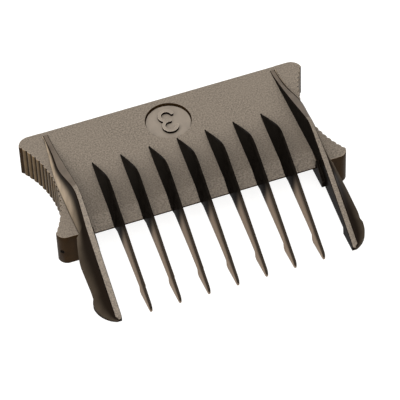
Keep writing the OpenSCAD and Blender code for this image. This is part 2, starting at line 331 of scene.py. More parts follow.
def tiers(shared, heights, inners):
    """Stacked prisms that share one open outline, each closed by its own inner path."""
    mesh = bmesh.new()
    outer = [[mesh.verts.new((x, y, z)) for x, y in shared] for z in heights]
    for low, high in zip(outer, outer[1:]):
        for j in range(len(shared) - 1):
            mesh.faces.new((low[j], low[j + 1], high[j + 1], high[j]))
    paths = []
    for level, inner in enumerate(inners):
        low = [mesh.verts.new((x, y, heights[level])) for x, y in inner]
        high = [mesh.verts.new((x, y, heights[level + 1])) for x, y in inner]
        bottom = [outer[level][-1], *low, outer[level][0]]
        top = [outer[level + 1][-1], *high, outer[level + 1][0]]
        for j in range(len(bottom) - 1):
            mesh.faces.new((bottom[j], bottom[j + 1], top[j + 1], top[j]))
        paths.append((bottom, top))
    mesh.faces.new(outer[0] + paths[0][0][1:-1])
    mesh.faces.new(outer[-1] + paths[-1][1][1:-1])
    for (_, below), (above, _) in zip(paths, paths[1:]):
        mesh.faces.new(below + above[-2:0:-1])
    return mesh


def outward(mesh):
    """Turns every face of a closed mesh outwards."""
    bmesh.ops.recalc_face_normals(mesh, faces=mesh.faces)


def soften(mesh, edges, offset, segments=2):
    """Rounds these edges and marks the new faces for rubbing and a painted highlight."""
    # The mark on the new faces lightens them later: partly from rubbing, partly a painted highlight.
    wear_and_highlight_layer = mesh.faces.layers.float.get("edge_wear_and_highlight") or mesh.faces.layers.float.new("edge_wear_and_highlight")
    made = bmesh.ops.bevel(mesh, geom=edges, offset=offset, segments=segments,
                           profile=0.5, affect="EDGES", clamp_overlap=True)
    for face in made["faces"]:
        face[wear_and_highlight_layer] = 1.0


def level_edges(mesh, z, keep):
    """Horizontal edges at this height whose ends both pass the test."""
    return [edge for edge in mesh.edges
            if all(abs(v.co.z - z) < 1e-4 and keep(v.co) for v in edge.verts)]


def as_object(mesh, name):
    """An object in the scene from this mesh, which is used up."""
    data = bpy.data.meshes.new(name)
    mesh.to_mesh(data)
    mesh.free()
    made = bpy.data.objects.new(name, data)
    bpy.context.scene.collection.objects.link(made)
    return made


def combined(mesh, tool, operation):
    """The boolean of two meshes, both used up."""
    body, other = as_object(mesh, "work"), as_object(tool, "tool")
    step = body.modifiers.new("step", "BOOLEAN")
    step.operation, step.solver, step.object = operation, "EXACT", other
    result = bmesh.new()
    result.from_object(body, bpy.context.evaluated_depsgraph_get())
    for made in (body, other):
        data = made.data
        bpy.data.objects.remove(made)
        bpy.data.meshes.remove(data)
    return result


def cylinder(radius, low, high, place, flats=MARK_FLATS):
    """An upright round prism."""
    ring = [(place[0] + radius * math.cos(a), place[1] + radius * math.sin(a))
            for a in (2 * math.pi * i / flats for i in range(flats))]
    return loft([[(x, y, z) for x, y in ring] for z in (low, high)])


def make_piece(mesh, name, body, finishes, replaced, crease=34):
    """Turns millimetre geometry into a finished piece that rides on a body."""
    outward(mesh)
    for face in mesh.faces:
        face.smooth = True
    for edge in mesh.edges:
        edge.smooth = edge.calc_face_angle(0) < math.radians(crease)
    piece = as_object(mesh, name)
    piece.data.transform(Matrix.Scale(MM, 4))
    normals = piece.modifiers.new("even_shading", "WEIGHTED_NORMAL")
    normals.keep_sharp = True
    for finish in finishes:
        piece.data.materials.append(finish)
    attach(piece, body)
    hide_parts(*replaced)
    return piece


def dress(mesh, under=0, steep=0.6):
    """Second finish on the deck-high faces that look up, another one on those that look down; the
    upright faces keep the first, darker finish, partly the plastic's own look and partly painted
    shade.
    """
    outward(mesh)
    for face in mesh.faces:
        on_top = face.normal.z > steep and face.calc_center_median().z > DECK_UNDER + 0.05
        face.material_index = 1 if on_top else under if face.normal.z < -steep else 0
    return mesh


def mirrored(mesh, side):
    """The right side's mesh, turned over for the left side."""
    bmesh.ops.scale(mesh, vec=(SIDES[side], 1, 1), verts=mesh.verts)
    return mesh


# ---- materials ----

class Nodes:
    """A material's node tree, with short calls to add and join nodes."""

    def __init__(self, name):
        self.material = bpy.data.materials.new(name)
        self.material.use_nodes = True
        self.tree = self.material.node_tree
        self.shader = self.tree.nodes["Principled BSDF"]
        self.place = self.add("ShaderNodeTexCoord").outputs["Object"]

    def add(self, kind, inputs=(), **settings):
        """A new node; an input is a value or another node's output to join."""
        made = self.tree.nodes.new(kind)
        for key, value in settings.items():
            setattr(made, key, value)
        for key, value in dict(inputs).items():
            if isinstance(value, bpy.types.NodeSocket):
                self.tree.links.new(value, made.inputs[key])
            else:
                made.inputs[key].default_value = value
        return made

    def noise(self, size, detail=2.0, roughness=0.5, stretch=(1, 1, 1)):
        """Noise whose blotches are about this size in metres."""
        place = self.add("ShaderNodeMapping", {"Vector": self.place, "Scale": stretch})
        return self.add("ShaderNodeTexNoise", {
            "Vector": place.outputs["Vector"], "Scale": 1 / size, "Detail": detail,
            "Roughness": roughness}).outputs["Fac"]

    def remap(self, value, low, high, start=0.3, end=0.7):
        """The value stretched so that start to end becomes low to high."""
        return self.add("ShaderNodeMapRange", {
            "Value": value, "From Min": start, "From Max": end,
            "To Min": low, "To Max": high}).outputs["Result"]

    def scaled(self, colour, factor):
        """A colour made darker or lighter."""
        return (*(channel * factor for channel in colour), 1.0)

    def blended(self, factor, a, b):
        """Mix of two colours, a at factor 0 and b at factor 1."""
        made = self.add("ShaderNodeMix", data_type="RGBA")
        for socket, value in zip((made.inputs[0], made.inputs[6], made.inputs[7]), (factor, a, b)):
            if isinstance(value, bpy.types.NodeSocket):
                self.tree.links.new(value, socket)
            else:
                socket.default_value = value
        return made.outputs[2]

    def mottled(self, value, base, low, high, start=0.3, end=0.7):
        """The base colour, from low to high times as light with the value."""
        return self.blended(self.remap(value, 0, 1, start, end), self.scaled(base, low),
                            self.scaled(base, high))

    def finish(self, colour, roughness, height, depth, ior=1.45):
        """Joins these to the shader, with fine bumps up to depth metres high."""
        bump = self.add("ShaderNodeBump", {"Height": height, "Strength": 1.0, "Distance": depth})
        for socket, value in (("Base Color", colour), ("Roughness", roughness),
                              ("Normal", bump.outputs["Normal"])):
            self.tree.links.new(value, self.shader.inputs[socket])
        self.shader.inputs["IOR"].default_value = ior
        return self.material

    def sum(self, a, b):
        """The two values added."""
        return self.add("ShaderNodeMath", {0: a, 1: b}, operation="ADD").outputs["Value"]

    def times(self, a, b):
        """The two values multiplied."""
        return self.add("ShaderNodeMath", {0: a, 1: b}, operation="MULTIPLY").outputs["Value"]

    def attribute(self, name):
        """A value kept on the mesh itself."""
        return self.add("ShaderNodeAttribute", attribute_name=name).outputs["Fac"]


def worn_and_highlit(nodes, colour, base, lift):
    """The colour, lighter on rounded edges: partly from rubbing, partly a painted highlight."""
    rub_and_highlight = nodes.remap(nodes.noise(1.1 * MM), 0.35, 1.0)
    amount = nodes.times(nodes.attribute("edge_wear_and_highlight"), rub_and_highlight)
    return nodes.blended(amount, colour, nodes.scaled(base, lift))


def textured_finish():
    """Spark-eroded texture: fine pits and grains, satin, warm dark grey."""
    look = looks()
    nodes = Nodes("textured_finish")
    grain = nodes.noise(look.grain, 3.0, 0.7)
    fine = nodes.noise(look.grain * 0.45, 1.0)
    cloud = nodes.noise(4 * MM, 2.0)
    base = tuple(look.textured)
    colour = nodes.mottled(grain, base, 0.58, 1.42, 0.4, 0.6)
    colour = nodes.blended(nodes.remap(cloud, 0, 0.35), colour, nodes.scaled(base, 1.15))
    colour = worn_and_highlit(nodes, colour, base, 1.7)
    height = nodes.sum(grain, nodes.times(fine, 0.5))
    return nodes.finish(colour, nodes.remap(grain, 0.5, 0.75), height, 0.05 * MM)


def mark_finish():
    """The smooth satin floor of the size mark, with faint flow lines."""
    nodes = Nodes("mark_finish")
    flow = nodes.noise(1.2 * MM, 2.0, 0.5, (1, 0.35, 1))
    base = tuple(looks().mark)
    # The numeral's rounded top edges turn lighter here: a painted highlight.
    colour = worn_and_highlit(nodes, nodes.mottled(flow, base, 0.9, 1.1), base, 2.2)
    return nodes.finish(colour, nodes.remap(flow, 0.42, 0.52), nodes.noise(0.3 * MM), 0.006 * MM)


def polished_finish():
    """Polished, near-black faces with draw marks, and a painted reflection that makes the free ends'
    sides paler.
    """
    look = looks()
    nodes = Nodes("polished_finish")
    peel = nodes.noise(0.9 * MM, 2.0)
    marks = nodes.noise(0.35 * MM, 2.0, 0.5, (1, 0.06, 1))
    base = tuple(look.polished)
    colour = worn_and_highlit(nodes, nodes.mottled(peel, base, 0.7, 1.4), base, 6.0)
    # The painted reflection on the free ends' sides.
    colour = nodes.blended(nodes.attribute("pale"), colour, (*look.free_end_reflection, 1.0))
    rough = nodes.remap(marks, look.gloss * 0.8, look.gloss * 1.25)
    return nodes.finish(colour, rough, nodes.sum(peel, marks), 0.002 * MM, 1.03)


def runner_finish():
    """The smooth hollow flare of the outer teeth, with painted shade below the strip and a painted
    highlight towards its rim.
    """
    look = looks()
    nodes = Nodes("runner_finish")
    peel = nodes.noise(1.4 * MM, 2.0)
    marks = nodes.noise(0.5 * MM, 2.0, 0.5, (1, 0.1, 1))
    pale = nodes.mottled(peel, tuple(look.runner), 0.85, 1.15)
    # Painted shade by the strip, turning to painted highlight towards the rim.
    colour = nodes.blended(nodes.attribute("pale"), (*look.hollow, 1.0), pale)
    return nodes.finish(colour, nodes.remap(marks, 0.3, 0.4), nodes.sum(peel, marks),
                        0.003 * MM, 1.03)


def satin_finish():
    """The smooth back slopes of the outer teeth's strips and the deck's underside."""
    nodes = Nodes("satin_finish")
    cloud = nodes.noise(1.5 * MM, 3.0)
    colour = nodes.mottled(cloud, tuple(looks().satin), 0.85, 1.15)
    return nodes.finish(colour, nodes.remap(cloud, 0.36, 0.46), nodes.noise(0.3 * MM),
                        0.005 * MM, 1.2)


def upright(name, base):
    """Satin upright faces, with painted shade at the bottom of any groove."""
    nodes = Nodes(name)
    cloud = nodes.noise(2.2 * MM, 3.0)
    grain = nodes.noise(0.25 * MM, 2.0)
    # Rounded edges, such as the ribs' top edges, turn lighter here: partly from rubbing, partly a
    # painted highlight.
    colour = worn_and_highlit(nodes, nodes.mottled(cloud, base, 0.75, 1.3), base, 3.2)
    # Painted shade, darkest at the bottom of the ribs' grooves.
    groove = nodes.remap(nodes.attribute("groove"), 0, 0.95, 0.05, 0.45)
    colour = nodes.blended(groove, colour, nodes.scaled(base, 0.05))
    return nodes.finish(colour, nodes.remap(cloud, 0.3, 0.42), grain, 0.008 * MM, 1.1)


def side_finish():
    """The posts, the back corners, the lugs and the deck's other faces."""
    return upright("side_finish", tuple(looks().side))


def rib_finish():
    """The warmer finger ribs."""
    return upright("rib_finish", tuple(looks().rib))


MATERIALS = {
    "textured": textured_finish, "mark": mark_finish, "polished": polished_finish,
    "runner": runner_finish, "satin": satin_finish, "side": side_finish, "rib": rib_finish,
}


def material(name):
    """The finish of this name, made once."""
    return bpy.data.materials.get(f"{name}_finish") or MATERIALS[name]()


# ---- deck and size mark ----

def deck_profile(x, sloped):
    """Outline of the deck at x, front slope or square front, from the back underside up."""
    drop = SLOPE_DROP if sloped else 0
    low = DECK_UNDER if abs(x) < OUTER_FACE + 0.01 else DECK_UNDER + SEAT_STEP
    back = [(DECK_BACK - BACK_ROUND + BACK_ROUND * math.cos(a),
             DECK_TOP - BACK_ROUND + BACK_ROUND * math.sin(a)) for a in spread(0, math.pi / 2, 4)]
    front_z = DECK_TOP - drop
    front = [(SLOPE_START + 0.25, DECK_TOP), (SLOPE_START, DECK_TOP - 0.02 * drop),
             (SLOPE_START - 0.3, DECK_TOP - 0.3 / SLOPE_LENGTH * drop - 0.01),
             (DECK_FRONT + FRONT_LIP, front_z + FRONT_LIP * drop / SLOPE_LENGTH),
             (DECK_FRONT + 0.03, front_z - 0.02), (DECK_FRONT, front_z - FRONT_LIP),
             (DECK_FRONT, low)]
    return [(x, y, z) for y, z in [(DECK_BACK, low), *back, *front]]


def deck_mesh():
    """The plate with its front slope between the runners, and the round recess."""
    edge = SIDE_INNER - SIDE_GAP
    plate = loft([deck_profile(-edge, False), deck_profile(-OUTER_FACE - 0.02, False),
                  deck_profile(-OUTER_FACE, True), deck_profile(OUTER_FACE, True),
                  deck_profile(OUTER_FACE + 0.02, False), deck_profile(edge, False)])
    low, high = span("size_disc")
    radius = (high.x - low.x) / 2 + RECESS_GAP
    place = ((low.x + high.x) / 2, (low.y + high.y) / 2)
    plate = combined(plate, cylinder(radius, low.z, DECK_TOP + 1, place), "DIFFERENCE")
    middle = Vector((*place, 0))
    rim = level_edges(plate, DECK_TOP, lambda co: abs(
        (Vector((co.x, co.y, 0)) - middle).length - radius) < 0.01)
    soften(plate, rim, 0.03)
    return plate


class GUARD_OT_deck(bpy.types.Operator):
    """Builds the textured deck with its thin front edge and round recess"""
    bl_idname = "guard.deck"
    bl_label = "Deck"

    def execute(self, context):
        mesh = dress(deck_mesh(), under=2)
        low, high = span("size_disc")
        # The recess bottom seen in the ring groove takes the dark first finish: painted shade in the
        # groove.
        for face in mesh.faces:
            if face.normal.z > 0.9 and abs(face.calc_center_median().z - low.z) < 0.01:
                face.material_index = 0
        make_piece(mesh, "deck", "comb",
                   [material("side"), material("textured"), material("satin")],
                   ["base_plate"], crease=40)
        return {"FINISHED"}


def disc_mesh():
    """The smooth floor of the recess, inside a narrow ring groove."""
    low, high = span("size_disc")
    high.z -= FLOOR_SINK
    radius = (high.x - low.x) / 2 - MOAT
    middle = (low + high) / 2
    rows = [(0.15, 0), (0.5, 0), (0.8, 0), (0.96, 0), (0.985, 0.01), (1, 0.03)]
    mesh = bmesh.new()
    rings = []
    for part, rise in rows + [(1, low.z - high.z)]:
        rings.append([mesh.verts.new((
            middle.x + radius * part * math.cos(2 * math.pi * i / MARK_FLATS),
            middle.y + radius * part * math.sin(2 * math.pi * i / MARK_FLATS),
            high.z + rise)) for i in range(MARK_FLATS)])
    for inner, outer in zip(rings, rings[1:]):
        for j in range(MARK_FLATS):
            k = (j + 1) % MARK_FLATS
            mesh.faces.new((inner[j], outer[j], outer[k], inner[k]))
    mesh.faces.new(rings[0])
    mesh.faces.new(rings[-1])
    return mesh


def numeral_outline(radius, half):
    """Outline of a generic 3: two bowls and the three round ends of its stroke."""
    centre = Vector((0, radius))
    opening, arm = 15, -75

    def on_bowl(angle, r):
        """Point of the upper bowl at this angle in degrees."""
        return centre + r * Vector((math.cos(math.radians(angle)), math.sin(math.radians(angle))))

    notch = math.degrees(math.atan2(-radius, -math.sqrt(2 * radius * half + half * half))) + 360
    upper = [on_bowl(a, radius + half) for a in spread(notch, opening, 40)]
    upper += [on_bowl(opening, radius) + half * Vector((math.cos(a), math.sin(a)))
              for a in spread(math.radians(opening), math.radians(opening - 180), 8)[1:-1]]
    upper += [on_bowl(a, radius - half) for a in spread(opening, arm + 360, 40)]
    end = on_bowl(arm, radius)
    upper += [end + half * Vector((math.cos(a), math.sin(a)))
              for a in spread(math.radians(arm + 180), -math.asin(end.y / half), 7)[1:]]
    lower = [Vector((p.x, -p.y)) for p in reversed(upper[1:-1])]
    return upper + lower


def numeral_mesh():
    """The raised numeral, a little into the floor and softened along its top."""
    low, high = span("size_numeral")
    floor_low, floor_high = span("size_disc")
    centre = (floor_low + floor_high) / 2
    half = sizes().stroke / MM / 2
    outline = numeral_outline((high.y - low.y - 2 * half) / 4, half)
    mesh = loft([[(centre.x + p.x, centre.y + p.y, z) for p in outline]
                 for z in (low.z - FLOOR_SINK - 0.05, high.z)])
    outward(mesh)
    soften(mesh, level_edges(mesh, high.z, lambda co: True), 0.05)
    return mesh


class GUARD_OT_size_mark(bpy.types.Operator):
    """Builds the smooth round floor and the raised numeral on it"""
    bl_idname = "guard.size_mark"
    bl_label = "Size mark"

    def execute(self, context):
        # The floor's rim wall and the numeral's upright sides take the near-black polished finish:
        # painted shade round the floor and along the strokes.
        finishes = [material("polished"), material("mark")]
        make_piece(dress(disc_mesh()), "mark_floor", "comb", finishes,
                   ["size_disc"])
        make_piece(dress(numeral_mesh()), "mark_numeral", "comb", finishes,
                   ["size_numeral"], crease=50)
        return {"FINISHED"}


# ---- thin teeth ----

def crest_z(y):
    """Height of a thin tooth's crest: up from the deck, then down the comb's face."""
    back = DECK_TOP + RISE_SLOPE * (TOOTH_START - y)
    z = soft_min(back, face_z(y), CREST_BLEND) - nose_drop(y)
    return max(deck_z(y) + CREST_LEAST, z) if y > 0 else z


def tooth_ring(x, y, crest):
    """Section of a thin tooth: root or sole, belly, tapering sides and a rounded crest."""
    over = y > DECK_FRONT - 0.1
    if over:
        belly = mix(START_HALF, ROOT_HALF, share(y, TOOTH_START, DECK_FRONT) ** SWELL_POWER)
        low, sole, rise = deck_z(y) - ROOT_SUNK, 1.0, 0.08
    else:
        belly = mix(ROOT_HALF * NECK_SHARE, FOOT_HALF, share(y, DECK_FRONT, HEEL))
        if y < HEEL:
            belly = mix(FOOT_HALF, TIP_HALF, share(y, HEEL, TIP + NOSE)) - 0.3 * nose_drop(y)
        low, sole, rise = under_z(y), SOLE_SHARE, 0.25
    high = crest_z(y)
    top = min(crest, belly * 0.9)
    turn = min(0.1, top * 0.6, (high - low) * 0.3)
    waist = low + (high - low) * rise
    half = [(belly * sole * 0.8, low), (belly * sole, low + 0.05), (belly, waist),
            (mix(belly, top, 0.5), mix(waist, high, 0.5)), (top, high - turn),
            (top - 0.3 * turn, high - 0.3 * turn), (top - turn, high)]
    return [(x + w, y, z) for w, z in half] + [(x - w, y, z) for w, z in reversed(half)]


def tooth_mesh(node):
    """A thin tooth, with a painted reflection marked on its free end, faint on the crest."""
    low, high = span(node)
    x = (low.x + high.x) / 2
    crest = sizes().crest_half / MM
    rings = [tooth_ring(x, y, crest) for y in stations(TOOTH_START)]
    mesh = loft(rings + [rounded_end(rings[-1], TIP, 0.6)])
    pale = mesh.verts.layers.float.new("pale")
    starts, ends = REFLECTION_RAMP
    # Share of painted reflection: faint on the crest, full on the sides, growing ahead of the deck.
    for vert in mesh.verts:
        below = share(vert.co.z, crest_z(vert.co.y) - 0.1, crest_z(vert.co.y) - 0.35)
        forward = ease(share(vert.co.y, DECK_FRONT - starts, DECK_FRONT - ends))
        vert[pale] = mix(CREST_REFLECTION, 1, below) * forward
    return mesh


class GUARD_OT_fin_teeth(bpy.types.Operator):
    """Builds the thin teeth, one piece each"""
    bl_idname = "guard.fin_teeth"
    bl_label = "Fin teeth"

    def execute(self, context):
        for node in TEETH:
            make_piece(tooth_mesh(node), f"fin_{node}", "comb",
                       [material("polished")], [node], crease=40)
        return {"FINISHED"}


# ---- outer teeth ----

def outer_crest(y):
    """Height of an outer tooth's crest, just below the thin teeth's."""
    back = DECK_TOP + OUTER_RISE * (max(0, OUTER_START - y) / OUTER_RUN) ** OUTER_POWER
    z = soft_min(back, face_z(y) - OUTER_LESS, OUTER_BLEND) - nose_drop(y)
    return max(DECK_TOP + 0.1, z) if y > 0 else z


def strip(y):
    """Width of the flat strip along the crest, broadest on the back slope."""
    swell = STRIP_SWELL * math.exp(-((y - 7) / 4) ** 2)
    return STRIP_WIDTH * (STRIP_LEAST + swell + STRIP_END * share(y, -1, -5))


def skirt_turn(y):
    """How far the flare has dropped below the sides, just ahead of them."""
    return math.sin(math.pi / 2 * share(y, SKIRT_FRONT, SKIRT_FRONT - SKIRT_LENGTH))


def spread_on_deck(y):
    """How far the flare has opened on its way forward over the deck."""
    return math.sin(math.pi / 2 * share(y, OUTER_START, OUTER_START - FLARE_RUN))


def flare(y, over):
    """Reach of the outer face outside the inner one."""
    if over:
        return mix(FLARE_FIRST, FLARE_REACH - FLARE_LESS, spread_on_deck(y))
    if y > HEEL:
        return mix(FLARE_REACH - FLARE_LESS, FLARE_REACH, skirt_turn(y))
    past = (HEEL - y) / (FOOT_LENGTH + 0.05)
    return max(FOOT_LEAST, FOOT_FLARE * max(0, 1 - past ** 2) ** FOOT_POWER)


def lip_z(y, over):
    """Top of the rim along the flare's lower edge."""
    if over:
        lip = DECK_TOP + RIM_THICK - mix(RIM_START, SKIRT_DROP, spread_on_deck(y))
    else:
        turned = mix(DECK_TOP - SKIRT_DROP, SKIRT_TURNED, skirt_turn(y))
        skirt = mix(turned, SKIRT_LEVEL, share(y, -8, HEEL)) + RIM_THICK
        foot = SOLE + mix(*FOOT_RIM, share(y, HEEL, TIP))
        lip = mix(skirt, foot, ease(share(y, HEEL + 1.6, HEEL - 0.6)))
    return min(lip, outer_crest(y) - 0.1)


def flare_curve(y, t, over):
    """Point of the hollow outer face at y: t is 0 at the strip and 1 at the rim."""
    high, lip, reach = outer_crest(y), lip_z(y, over), flare(y, over)
    edge = min(strip(y), reach * STRIP_SHARE)
    a, b, c = (1 - t) ** 2, 2 * t * (1 - t), t * t
    return (OUTER_FACE + a * edge + b * mix(edge, reach, HOLLOW_ACROSS) + c * reach,
            y, a * high + b * mix(lip, high, HOLLOW_UP) + c * lip)


def lift_point(y, z):
    """Where the outer face comes down to z, as a share of the way to the rim."""
    low, high = 0.0, 1.0
    for _ in range(30):
        middle = (low + high) / 2
        low, high = (middle, high) if flare_curve(y, middle, True)[2] > z else (low, middle)
    return low


def outer_ring(y, over):
    """Section of an outer tooth; over the deck it clears the moving side below it."""
    high = outer_crest(y)
    width = flare(y, over)
    reach = min(strip(y), width * STRIP_SHARE)
    if over:
        base = DECK_TOP - ROOT_SUNK
        lifted = min(DECK_TOP + LIFT * share(y, OUTER_START, OUTER_START - 1.5), high - 0.04)
        stand = min(SIDE_INNER - 0.1, OUTER_FACE + 0.8 * width)
        end = lift_point(y, lifted)
        bottom = [(OUTER_FACE, y, base), (stand, y, base), (stand, y, lifted)]
    else:
        low = under_z(y)
        skirt = SOLE if y < HEEL - 0.1 else max(low * 0.6, lip_z(y, over) - RIM_THICK)
        end = 1.0
        bottom = [(OUTER_FACE, y, low), (OUTER_FACE + width * 0.6, y, mix(low, skirt, 0.6)),
                  (OUTER_FACE + width, y, skirt)]
    curve = [flare_curve(y, t, over) for t in spread(end, 0.06, CURVE_STEPS)]
    turn = min(STRIP_ROUND, (high - DECK_TOP) * 0.3) if over else STRIP_ROUND
    lean = STRIP_LEAN * share(high - DECK_TOP, 0, 1) if over else STRIP_LEAN
    top = [(OUTER_FACE + reach, y, high - lean - turn),
           (OUTER_FACE + reach * 0.94, y, high - lean - 0.2 * turn),
           (OUTER_FACE + reach * 0.86, y, high - 0.9 * lean),
           (OUTER_FACE + STRIP_ROUND, y, high),
           (OUTER_FACE, y, high - (0.03 if over and high - DECK_TOP <= 0.2 else STRIP_ROUND))]
    return bottom + curve + top


def outer_mesh():
    """The right outer tooth, with its faces' finishes and how much painted highlight its flare has.
    """
    over = [y for y in stations(OUTER_START) if y > SKIRT_FRONT]
    free = [SKIRT_FRONT - 0.01] + [y for y in stations(OUTER_START) if y < SKIRT_FRONT - 0.02]
    rings = ([outer_ring(y, True) for y in over] + [outer_ring(SKIRT_FRONT, True)]
             + [outer_ring(y, False) for y in free])
    mesh = loft(rings + [rounded_end(rings[-1], TIP, 0.7)])
    columns = len(rings[0])
    mesh.faces.ensure_lookup_table()
    for row, ring in enumerate(rings):
        finish = 2 if ring[0][1] > CREST_PLACE else 1
        for column in range(columns - 4, columns - 2):
            mesh.faces[row * columns + column].material_index = finish
        mesh.faces[row * columns + columns - 1].material_index = 3
    pale = mesh.verts.layers.float.new("pale")
    mesh.verts.index_update()
    for vert in mesh.verts:
        from_rim = (vert.index % columns - RIM_COLUMN) / CURVE_STEPS
        if 0 <= from_rim <= 1:
            # Painted highlight on the flare: none by the strip, growing towards the rim, stronger
            # and broader towards the back.
            behind = ease(share(vert.co.y, -7, 4))
            turned = ease(share(1 - from_rim, mix(0.35, 0.1, behind), mix(1, 0.7, behind)))
            # Over the deck the rim's own edge gets none: a painted shadow line above the side.
            painted_rim_shadow = from_rim == 0 and vert.co.y > SKIRT_FRONT
            vert[pale] = 0.0 if painted_rim_shadow else turned * mix(0.12, 1, behind)
    return mesh


class GUARD_OT_outer_teeth(bpy.types.Operator):
    """Builds the two broad outer teeth with their flared faces"""
    bl_idname = "guard.outer_teeth"
    bl_label = "Outer teeth"

    def execute(self, context):
        for side in SIDES:
            make_piece(mirrored(outer_mesh(), side), f"runner_{side}", "comb",
                       [material("runner"), material("textured"), material("satin"),
                        material("polished")],
                       [f"outer_tooth_{side}"], crease=40)
        return {"FINISHED"}


# ---- blade rails ----

def rail_mesh():
    """A thin guide wall with a stepped front end."""
    low, high = span("blade_rail_right")
    seat = DECK_UNDER + SEAT_STEP
    front = DECK_FRONT - 0.02
    outline = [(high.y, seat), (front, seat), (front, high.z), (low.y, DECK_TOP - 1.4),
               (low.y, low.z), (high.y, low.z)]
    mesh = loft([[(x, y, z) for y, z in outline] for x in (low.x, high.x - 0.01)])
    soften(mesh, [e for e in mesh.edges if all(v.co.y < front + 0.1 for v in e.verts)], 0.05)
    return mesh


class GUARD_OT_blade_rails(bpy.types.Operator):
    """Builds the two rails that guide the blade under the deck"""
    bl_idname = "guard.blade_rails"
    bl_label = "Blade rails"

    def execute(self, context):
        for side in SIDES:
            make_piece(mirrored(rail_mesh(), side), f"rail_{side}", "comb",
                       [material("polished")], [f"blade_rail_{side}"])
        return {"FINISHED"}


# ---- moving sides ----

def grip_curve():
    """Radius and middle of the finger hollow."""
    waist = SIDE_INNER + sizes().wall / MM
    depth = SIDE_HALF - waist
    radius = (depth ** 2 + GRIP_LENGTH ** 2 / 4) / (2 * depth)
    return waist + radius, radius


def rib_radius(angle):
    """Radius of the ribbed face: round bars with narrow grooves between them."""
    _, radius = grip_curve()
    reach = math.asin(GRIP_LENGTH / 2 / radius)
    turn = (angle + reach) / (2 * reach) * sizes().rib_count
    off = 2 * abs(turn - round(turn))
    return radius + sizes().rib_depth / MM * (1 - max(0.0, 1 - off * off) ** RIB_POWER)


def hollow_points(start, end, samples=9):
    """Points of the ribbed outline between two places along Y."""
    middle, radius = grip_curve()
    a, b = (math.asin((y - GRIP_PLACE) / radius) for y in (start, end))
    reach = math.asin(GRIP_LENGTH / 2 / radius)
    count = max(2, round(abs(b - a) / (2 * reach) * sizes().rib_count * samples))
    points = []
    for angle in spread(a, b, count):
        r = rib_radius(angle)
        points.append((min(middle - r * math.cos(angle), SIDE_HALF),
                       GRIP_PLACE + radius * math.sin(angle)))
    return points


def inner_points(start, end, count=24):
    """Points of the band's smooth inner face."""
    middle, radius = grip_curve()
    radius += sizes().wall / MM
    return [(middle - math.sqrt(radius ** 2 - (y - GRIP_PLACE) ** 2), y)
            for y in spread(start, end, count)]


def arc(centre, radius, start, end, count=10):
    """Points of an arc between two angles in degrees."""
    return [(centre[0] + radius * math.cos(math.radians(a)),
             centre[1] + radius * math.sin(math.radians(a))) for a in spread(start, end, count)]


def soften_outside(mesh, outside, height):
    """Rounds the top and bottom edges along the side's outer outline."""
    near = {(round(x, 3), round(y, 3)) for x, y in outside}

    def on_outline(co):
        """Whether this point stands on the outline."""
        return (round(co.x, 3), round(co.y, 3)) in near

    edges = level_edges(mesh, height, on_outline) + level_edges(mesh, 0, on_outline)
    soften(mesh, edges, sizes().edge_round / MM)


def band_mesh():
    """The right ribbed wall, with its grooves marked for painted shade."""
    outside = hollow_points(BAND_HIGH.y, BAND_LOW.y)
    mesh = tiers(outside, [0, DECK_TOP], [inner_points(BAND_LOW.y, BAND_HIGH.y, 48)])
    outward(mesh)
    soften_outside(mesh, outside, DECK_TOP)
    middle, radius = grip_curve()
    groove = mesh.verts.layers.float.new("groove")
    depth = sizes().rib_depth / MM
    for vert in mesh.verts:
        out = math.hypot(middle - vert.co.x, vert.co.y - GRIP_PLACE) - radius
        vert[groove] = share(out, 0, depth) if out < 1.5 * depth else 0.0
    return dress(mesh)


def corner_mesh():
    """The right back corner: a wall below, closed in at the deck's height."""
    wall = sizes().wall / MM
    centre = (SIDE_HALF - CORNER_RADIUS, DECK_BACK - CORNER_RADIUS)
    start = GRIP_PLACE + GRIP_LENGTH / 2
    web = GRIP_PLACE + WEB_HALF
    stop = math.degrees(math.asin(min(1, (start - centre[1]) / CORNER_RADIUS)))
    outside = ([(SIDE_INNER, DECK_BACK)] + arc(centre, CORNER_RADIUS, 90, stop, 12)
               + hollow_points(start, BAND_HIGH.y)[1:])
    shared = [(SIDE_INNER, DECK_BACK - wall)] + outside + [(SIDE_HALF - wall, BAND_HIGH.y)]
    below = arc(centre, CORNER_RADIUS - wall, 0, 90, 8)
    above = inner_points(BAND_HIGH.y, web) + [(SIDE_INNER, web)]
    mesh = tiers(shared, [0, DECK_UNDER, DECK_TOP], [below, above])
    outward(mesh)
    soften_outside(mesh, outside, DECK_TOP)
    return dress(mesh)


